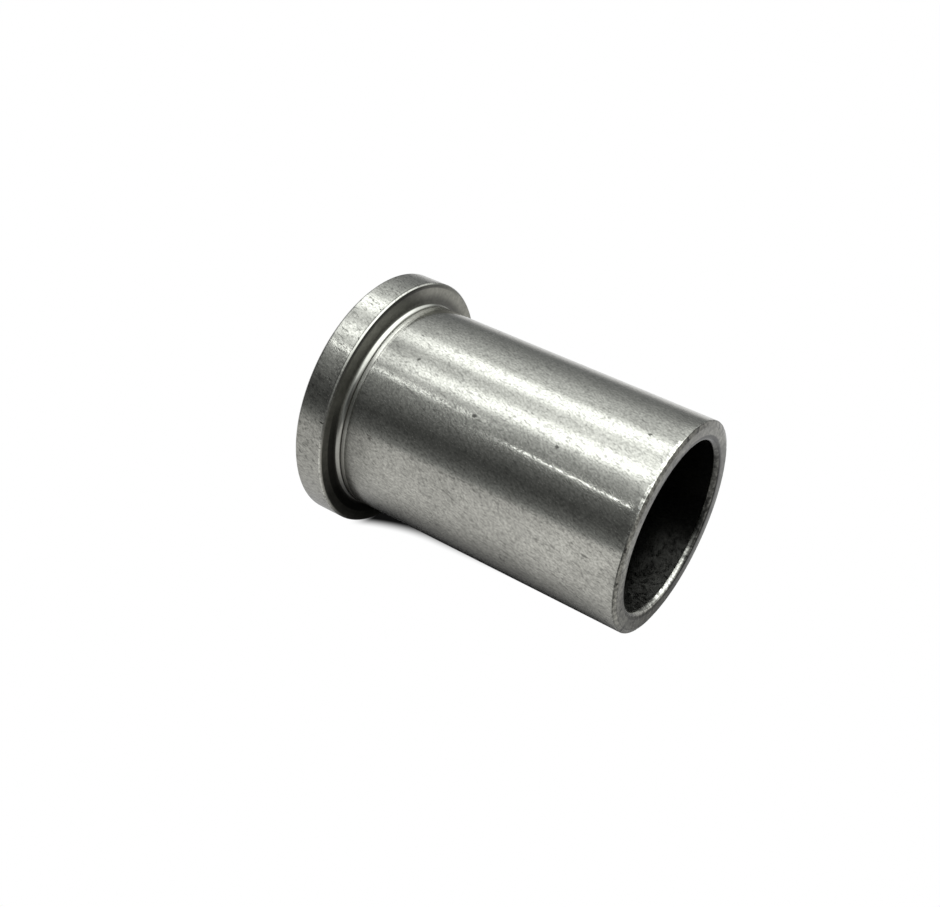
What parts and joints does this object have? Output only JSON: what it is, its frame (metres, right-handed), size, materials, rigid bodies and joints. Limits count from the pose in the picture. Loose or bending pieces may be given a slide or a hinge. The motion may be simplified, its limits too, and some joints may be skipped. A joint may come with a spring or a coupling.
{
  "type": "flanged bushing",
  "caption": "Plain steel bushing: a thin-walled tube with a smooth through bore and a round flange at one end that stops it in its housing.",
  "frame": {"origin": "centre of the flange's outer face, on the axis of the bore", "axes": "+Z along the bore, from the flange's outer face to the tube's open end; the part stands on its flange"},
  "size_m": [0.024, 0.024, 0.0322],
  "materials": {
    "bushing_steel": "bare grey steel with fine burnish marks along the tube and small open pores"
  },
  "bodies": {
    "root": {"bushing": "bushing_steel"}
  },
  "joints": []
}
